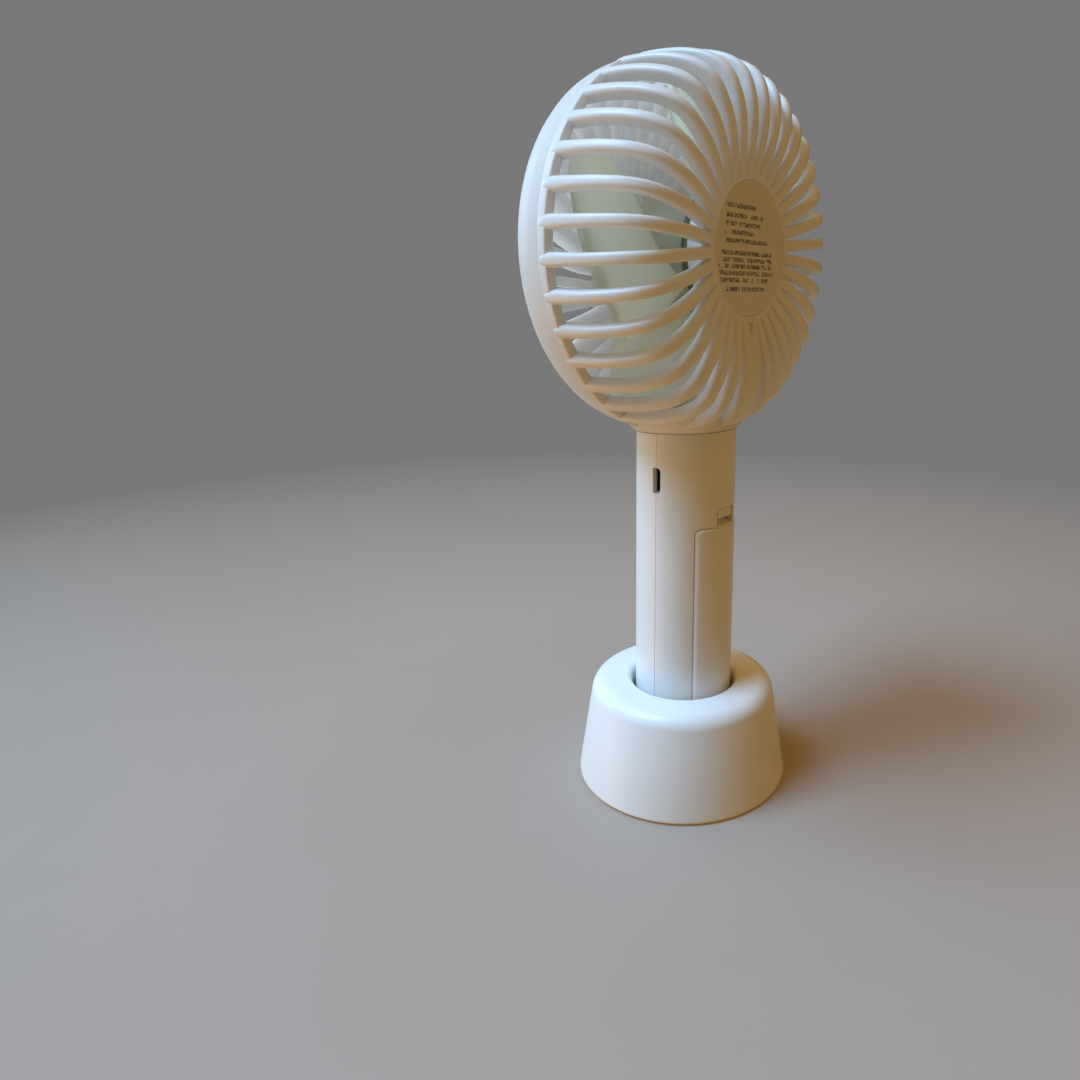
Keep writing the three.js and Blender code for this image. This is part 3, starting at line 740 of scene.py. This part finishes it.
def half_shell(name, start, sides):
    """Half of the handle tube with its floor, coped to the head and trimmed to its side."""
    steps, inner_floor = 48, FOOT_Z + 2
    outline = [(0, FOOT_Z), (HANDLE_R, FOOT_Z, 0.8), (HANDLE_R, TUBE_TOP), (HANDLE_IN, TUBE_TOP)]
    outline = fillet([*outline, (HANDLE_IN, inner_floor, 0.8), (0, inner_floor)], 5)
    rings = []
    for i in range(steps + 1):
        angle = math.radians(start + 180 * i / steps)
        ring = []
        for r, h in outline:
            x, y = r * math.cos(angle), r * math.sin(angle)
            ring.append((x, y, coped_top(x, y) if h > TUBE_TOP - 1 else h))
        rings.append(ring)
    return keep(loft(name, rings), block("side", (-20, 20), sides, (0, 120)))


def add_collar(shell, sides):
    """The inner rim that takes hold of the neck tube."""
    collar = turned("collar", [(8.3, 98.4), (12.5, 98.4), (12.5, 99.9), (8.3, 99.9)], 96)
    unite(shell, keep(collar, block("side", (-20, 20), sides, (90, 110))))


def make_port():
    """The charging port, a six-sided opening across the seam with its longest side in front."""
    outline = [(-1.1, 87.4, 0.25), (0.7, 87.4, 0.3), (1.4, 88.1, 0.3)]
    outline += [(1.4, 93.8, 0.3), (0.7, 94.5, 0.3), (-1.1, 94.5, 0.25)]
    return prism("port", fillet(outline, 3), 10.5, 15, "X")


def make_handle():
    front = half_shell("handle_front", 180, (-20, -SEAM / 2))
    add_collar(front, (-20, -GAP / 2))
    for z in (93.5, 84.5):  # bosses for the circuit board
        unite(front, shifted(rod("boss", 1.8, -10.1, -3.2, 24, "Y", z), -7.5))
        cut(front, shifted(rod("pilot", 0.95, -9, 0, 24, "Y", z), -7.5))
    cut(front, make_port())
    for r, z in ((4.2, BUTTON_Z), (1.3, LAMP_Z)):
        cut(front, rod("hole", r, -16, -8, 64, "Y", z))
    piece(front, "fan", WHITE, "white_plastic", "handle_front_shell")

    rear = half_shell("handle_rear", 0, (SEAM / 2, 20))
    add_collar(rear, (GAP / 2, 20))
    window = [(-9.85, 25.7, 1.5), (9.85, 25.7, 1.5), (9.85, 78.1, 1.6), (-9.85, 78.1, 1.6)]
    cut(rear, prism("window", fillet(window, 6), 4, 16, "Y"))
    notch = [(-4, 70), (4, 70), (4, 83, 1.3), (-4, 83, 1.3)]
    cut(rear, prism("notch", fillet(notch, 6), 4, 16, "Y"), make_port())
    piece(rear, "fan", WHITE, "white_plastic", "handle_rear_shell")


make_handle()


def crowded(count, start, length):
    """Positions over a length that crowd towards both ends."""
    shares = [i / count for i in range(count + 1)]
    return [length * (t - 0.13 * math.sin(2 * math.pi * t)) + start for t in shares]


def soft_panel(name, half, low, high, corner, radius, thick, roll):
    """A curved panel between two heights on a round tube.

    half is half its width, radius its outer face, corner the radius of its corners, thick its wall
    and roll the rounding of its outer edge.
    """
    columns, rows = 36, 72
    xs = crowded(columns, -half, 2 * half)
    zs = crowded(rows, low, high - low)

    def inside(x, z):
        """The point, drawn in where it is in a rounded corner, and its distance from the edge."""
        cx = max(abs(x) - (half - corner), 0)
        cz_high, cz_low = max(z - (high - corner), 0), max(low + corner - z, 0)
        cz = cz_high if cz_high > 0 else cz_low
        reach = math.hypot(cx, cz)
        if cx > 0 and cz > 0:
            scale = max(cx, cz) / reach
            cx, cz, reach = cx * scale, cz * scale, max(cx, cz)
            x = math.copysign(half - corner + cx, x)
            z = high - corner + cz if cz_high > 0 else low + corner - cz
            return x, z, corner - reach
        return x, z, min(half - abs(x), high - z, z - low)

    outer, inner = [], []
    for z0 in zs:
        for x0 in xs:
            x, z, edge = inside(x0, z0)
            drop = 0.0
            if edge < roll:
                drop = roll - math.sqrt(max(roll * roll - (roll - edge) ** 2, 0))
            angle = math.asin(x / radius)
            r_out, r_in = radius - drop, radius - thick
            outer.append((x, math.sqrt(r_out * r_out - x * x), z))
            inner.append((x, math.sqrt(r_in * r_in - x * x), z))
    wide = columns + 1
    count = len(outer)
    faces = []
    for j in range(rows):
        for i in range(columns):
            a = j * wide + i
            faces.append((a, a + 1, a + wide + 1, a + wide))
            faces.append((count + a, count + a + wide, count + a + wide + 1, count + a + 1))
    rim = list(range(columns))
    rim += [j * wide + columns for j in range(rows)]
    rim += [rows * wide + i for i in range(columns, 0, -1)]
    rim += [j * wide for j in range(rows, 0, -1)]
    for a, b in zip(rim, rim[1:] + rim[:1]):
        faces.append((a, b, count + b, count + a))
    return new_object(name, outer + inner, faces)


def make_cover():
    """The curved panel, its latch tongue and the finger grip on the tongue."""
    cover = soft_panel(
        "battery_cover_panel",
        half=9.7,
        low=26.0,
        high=77.95,
        corner=1.5,
        radius=HANDLE_R + 0.15,
        thick=2.1,
        roll=0.95,
    )
    side = [(10.3, 71, 0.3), (12.6, 71, 0.2), (12.6, 76.8), (13.6, 77.4, 0.6), (10.6, 78.9, 1.2)]
    side += [(10.6, 82.4, 0.1), (10.3, 82.4, 0.1)]
    tongue = prism("tongue", fillet(side, 5), -3.7, 3.7, "X")
    face = fillet([(-3.3, 80.1, 0.5), (3.3, 80.1, 0.5), (3.3, 82.6, 0.7), (-3.3, 82.6, 0.7)], 5)
    unite(cover, tongue, prism("grip", face, 10.6, 13.3, "Y"))
    piece(cover, "cover", WHITE, "white_plastic", "battery_cover", angle=30)


make_cover()


def make_button():
    profile = fillet(
        [
            (0, -7.8),
            (2.2, -7.8, 0.2),
            (2.2, -9.7, 0.3),
            (5, -9.7, 0.2),
            (5, -10.4, 0.2),
            (3.8, -10.4, 0.2),
            (3.8, -14.7, 0.7),
            (2.6, -14.7, 1.5),
            (1.4, -14.45, 1.0),
            (0, -14.45),
        ],
        5,
    )
    cap = turned("button_cap", profile, 96, "Y", BUTTON_Z)
    piece(cap, "button", WHITE, "white_plastic", "power_button")


make_button()

# ---- rotor ---------------------------------------------------------------------------------


BLADES = 4
BLADE_ROOT, BLADE_TIP = 15.3, 42.5
BLADE_FRONT, BLADE_DEPTH = -8, 16.4  # where a blade starts along the axis, and how far it reaches
BLADE_LEAD, BLADE_TRAIL = 43, -35  # angles of a blade's two edges up to two thirds of its length


def blade_edges(r):
    """Angles of a blade's two edges in degrees. Both curve in near the tip."""
    sweep = max(0.0, (r - 32) / 10.5)
    return BLADE_LEAD - 15 * sweep**2, BLADE_TRAIL + 4 * sweep**2


def make_blade(turn):
    """A twisted blade with rounded edges, skinned from root to tip."""
    rings, steps, count = [], 26, 28
    blunt = 0.6  # distance from an edge over which the blade thins
    for i in range(steps + 1):
        share = i / steps
        r = BLADE_ROOT + (BLADE_TIP - BLADE_ROOT) * (1 - (1 - share) ** 1.3)
        lead, trail = blade_edges(r)
        fade = math.sqrt(max(1 - max(0, (r - 41.6) / 0.95) ** 2, 0.02))
        thick = (1.5 - 0.5 * share) * fade
        upper, lower = [], []
        for k in range(count + 1):
            t = 0.5 - 0.5 * math.cos(math.pi * k / count)
            angle = math.radians(lead + (trail - lead) * t) + turn
            edge = min(t, 1 - t) * r * math.radians(BLADE_LEAD - BLADE_TRAIL)
            body = thick * (0.7 + 1.2 * t * (1 - t)) / 2
            half = body * math.sqrt(min(edge / blunt, 1.0))
            y = BLADE_FRONT + BLADE_DEPTH * t
            upper.append((r * math.cos(angle), y + half, HEAD_Z + r * math.sin(angle)))
            lower.append((r * math.cos(angle), y - half, HEAD_Z + r * math.sin(angle)))
        rings.append(upper + lower[-2:0:-1])
    return loft("blade", rings)


def make_rotor():
    profile = fillet(
        [
            (0, -8.6),
            (15.2, -8.6, 1.4),
            (16, -7, 1.2),
            (16, 9.5, 0.4),
            (14.4, 9.5, 0.3),
            (14.4, -7, 0.8),
            (3, -7, 0.3),
            (3, -5.9, 0.2),
            (0, -5.9),
        ],
        5,
    )
    cup = turned("rotor_blades", profile, 128, "Y", HEAD_Z)
    for i in range(BLADES):
        unite(cup, make_blade(i * 2 * math.pi / BLADES))
    cut(cup, rod("bore", 1.1, -8, 0, 32, "Y", HEAD_Z))
    piece(cup, "rotor", BLADE, "blade_plastic", "fan_blades", angle=40)


make_rotor()

# ---- label ---------------------------------------------------------------------------------

# rows of print on the disc, as (height of the middle, left, right); seen from behind, left is +x
LABEL_ROWS = [
    (10.0, 12.6, -1.5),
    (7.7, 12.6, -5.7),
    (5.7, 12.6, -4.0),
    (3.7, 12.6, -0.8),
    (1.7, 12.6, -8.0),
    (-1.2, 13.8, -10.2),
    (-2.9, 15.3, -10.7),
    (-4.4, 15.3, -10.0),
    (-6.1, 15.3, -11.3),
    (-7.8, 14.6, -9.0),
    (-10.0, 11.6, -7.0),
]
HALF_ROW = 0.55  # half the height of a row


def label_material():
    """Off-white film with rows of dark strokes standing in for the rating text. No letters."""
    n = Nodes("label_print")
    x = n.along("X")
    height = n.math("SUBTRACT", n.along("Z"), HEAD_Z * MM)
    ink = None
    for centre, left, right in LABEL_ROWS:
        from_centre = n.math("ABSOLUTE", n.math("SUBTRACT", height, centre * MM))
        tall = n.math("LESS_THAN", from_centre, HALF_ROW * MM)
        starts, ends = n.math("LESS_THAN", x, left * MM), n.math("GREATER_THAN", x, right * MM)
        row = n.math("MULTIPLY", tall, n.math("MULTIPLY", starts, ends))
        ink = row if ink is None else n.math("MAXIMUM", ink, row)
    strokes = n.remap(n.noise(1.0, 2.0, 0.7, n.stretch((2600, 1, 900))), 0.1, 1, 0.44, 0.54)
    words = n.math("GREATER_THAN", n.noise(1.0, 0.0, 0.5, n.stretch((520, 1, 260))), 0.36)
    ink = n.math("MULTIPLY", ink, n.math("MULTIPLY", strokes, words))
    film = n.blend(n.remap(n.noise(60.0), 0, 1, 0.3, 0.7), (0.71, 0.72, 0.76), (0.67, 0.68, 0.72))
    color = n.blend(n.math("MULTIPLY", ink, 0.95), film, (0.045, 0.025, 0.02))
    roughness = n.remap(n.noise(300.0), 0.42, 0.52)
    return n.finish(color, roughness, n.bump(n.noise(2500.0, 2.0), 0.05, 0.0001))


def make_label():
    profile = fillet([(0, 18.7), (16.85, 18.7, 0.1), (16.85, 19.4, 0.2), (0, 19.4)], 4)
    disc = turned("rating_disc", profile, 128, "Y", HEAD_Z)
    piece(disc, "fan", label_material(), "label", "rating_label")


make_label()

# ---- carried CAD nodes ---------------------------------------------------------------------

CARRIED = {
    "base_plate": WHITE_MATT,
    "base_pad": FOAM,
    "base_screw_1": STEEL,
    "base_screw_2": STEEL,
    "base_screw_3": STEEL,
    "battery_cell": WRAP,
    "contact_negative": PLATED,
    "contact_spring": PLATED,
    "contact_positive": PLATED,
    "circuit_board": BOARD,
    "usb_socket": SOCKET,
    "usb_tongue": BLACK,
    "tact_switch": BLACK,
    "charge_chip": BLACK,
    "inductor": MAGNET,
    "status_lamp": LAMP,
    "light_pipe": LAMP,
    "board_screw_1": STEEL,
    "board_screw_2": STEEL,
    "battery_lead_positive": RED,
    "battery_lead_negative": INK,
    "motor_can": STEEL,
    "motor_end_cap": BLACK,
    "magnet_left": MAGNET,
    "magnet_right": MAGNET,
    "bush_front": BRONZE,
    "bush_rear": BRONZE,
    "motor_screw_1": STEEL,
    "motor_screw_2": STEEL,
    "motor_lead_red": RED,
    "motor_lead_black": INK,
    "motor_shaft": STEEL,
    "armature_core": STEEL,
    "winding_1": COPPER,
    "winding_2": COPPER,
    "winding_3": COPPER,
    "commutator": COPPER,
}

for name, material in CARRIED.items():
    node = NODES[name]
    node.data.materials.clear()
    node.data.materials.append(material)
    smooth(node, 32)

# ---- stage and light -----------------------------------------------------------------------


WALL = (0.19, 0.19, 0.19)
LIT_POINT = (0, 0, 0.12)
# name, place in metres, size in metres, watts, colour
LIGHTS = [
    ("daylight", (1.23, -0.855, 2.28), 1.5, 102.0, (0.33, 0.64, 1.0)),
    ("daylight_front", (0.2, -2.3, 0.75), 1.5, 17.0, (0.52, 0.82, 1.0)),
    ("daylight_side", (2.1, -0.8, 0.8), 1.3, 4.2, (0.72, 0.88, 1.0)),
    ("table_bounce", (1.5, -1.7, -0.9), 1.2, 13.0, (1.0, 0.68, 0.42)),
    ("far_window", (-1.05, 1.8, 0.55), 1.8, 0.7, (0.72, 0.72, 0.85)),
]


def area(name, place, size, power, color):
    """A round area light aimed at the middle of the fan."""
    data = bpy.data.lights.new(name, "AREA")
    data.shape = "DISK"
    data.size = size
    data.energy = power
    data.color = color
    lamp = bpy.data.objects.new(name, data)
    bpy.context.scene.collection.objects.link(lamp)
    lamp.location = place
    lamp.rotation_mode = "QUATERNION"
    lamp.rotation_quaternion = (Vector(LIT_POINT) - Vector(place)).to_track_quat("-Z", "Y")


def make_world():
    """Warm room light, stronger from above and below. The camera sees a plain grey wall instead."""
    world = bpy.data.worlds.new("studio")
    world.use_nodes = True
    tree = world.node_tree
    direction = tree.nodes.new("ShaderNodeTexCoord")
    split = tree.nodes.new("ShaderNodeSeparateXYZ")
    tree.links.new(direction.outputs["Generated"], split.inputs[0])
    height = tree.nodes.new("ShaderNodeMath")
    height.operation = "ABSOLUTE"
    tree.links.new(split.outputs["Z"], height.inputs[0])
    tint = tree.nodes.new("ShaderNodeMix")
    tint.data_type = "RGBA"
    tree.links.new(height.outputs[0], tint.inputs["Factor"])
    tint.inputs[6].default_value = (0.07, 0.045, 0.01, 1)
    tint.inputs[7].default_value = (0.61, 0.35, 0.09, 1)
    ambient = tree.nodes["Background"]
    tree.links.new(tint.outputs[2], ambient.inputs["Color"])
    wall = tree.nodes.new("ShaderNodeBackground")
    wall.inputs["Color"].default_value = (*WALL, 1)
    seen = tree.nodes.new("ShaderNodeLightPath")
    pick = tree.nodes.new("ShaderNodeMixShader")
    tree.links.new(seen.outputs["Is Camera Ray"], pick.inputs["Fac"])
    tree.links.new(ambient.outputs[0], pick.inputs[1])
    tree.links.new(wall.outputs[0], pick.inputs[2])
    tree.links.new(pick.outputs[0], tree.nodes["World Output"].inputs["Surface"])
    bpy.context.scene.world = world


def make_stage():
    """A wide floor that fades into the wall's grey, the world and the lights."""
    n = Nodes("floor")
    tone = n.remap(n.noise(8.0, 4.0), 0, 1, 0.3, 0.7)
    color = n.blend(tone, (0.41, 0.33, 0.275), (0.39, 0.31, 0.26))
    n.finish(color, n.remap(n.noise(90.0), 0.55, 0.7))
    # away from the fan the floor runs into the wall's plain grey
    far = n.node("ShaderNodeVectorMath", operation="LENGTH")
    n.join(n.where, far.inputs[0])
    wall = n.node("ShaderNodeEmission")
    wall.inputs["Color"].default_value = (*WALL, 1)
    fade = n.node("ShaderNodeMixShader")
    n.join(n.remap(far.outputs["Value"], 0, 1, 0.13, 0.5), fade.inputs["Fac"])
    n.join(n.shader.outputs[0], fade.inputs[1])
    n.join(wall.outputs[0], fade.inputs[2])
    n.join(fade.outputs[0], n.output.inputs["Surface"])
    corners = [(-3000, -3000, 0), (3000, -3000, 0), (3000, 3000, 0), (-3000, 3000, 0)]
    floor = new_object("floor", corners, [(0, 1, 2, 3)])
    floor.data.materials.append(n.material)
    floor.visible_diffuse = False
    floor.visible_shadow = False
    make_world()
    bpy.context.scene.view_settings.view_transform = "Standard"
    for light in LIGHTS:
        area(*light)


make_stage()
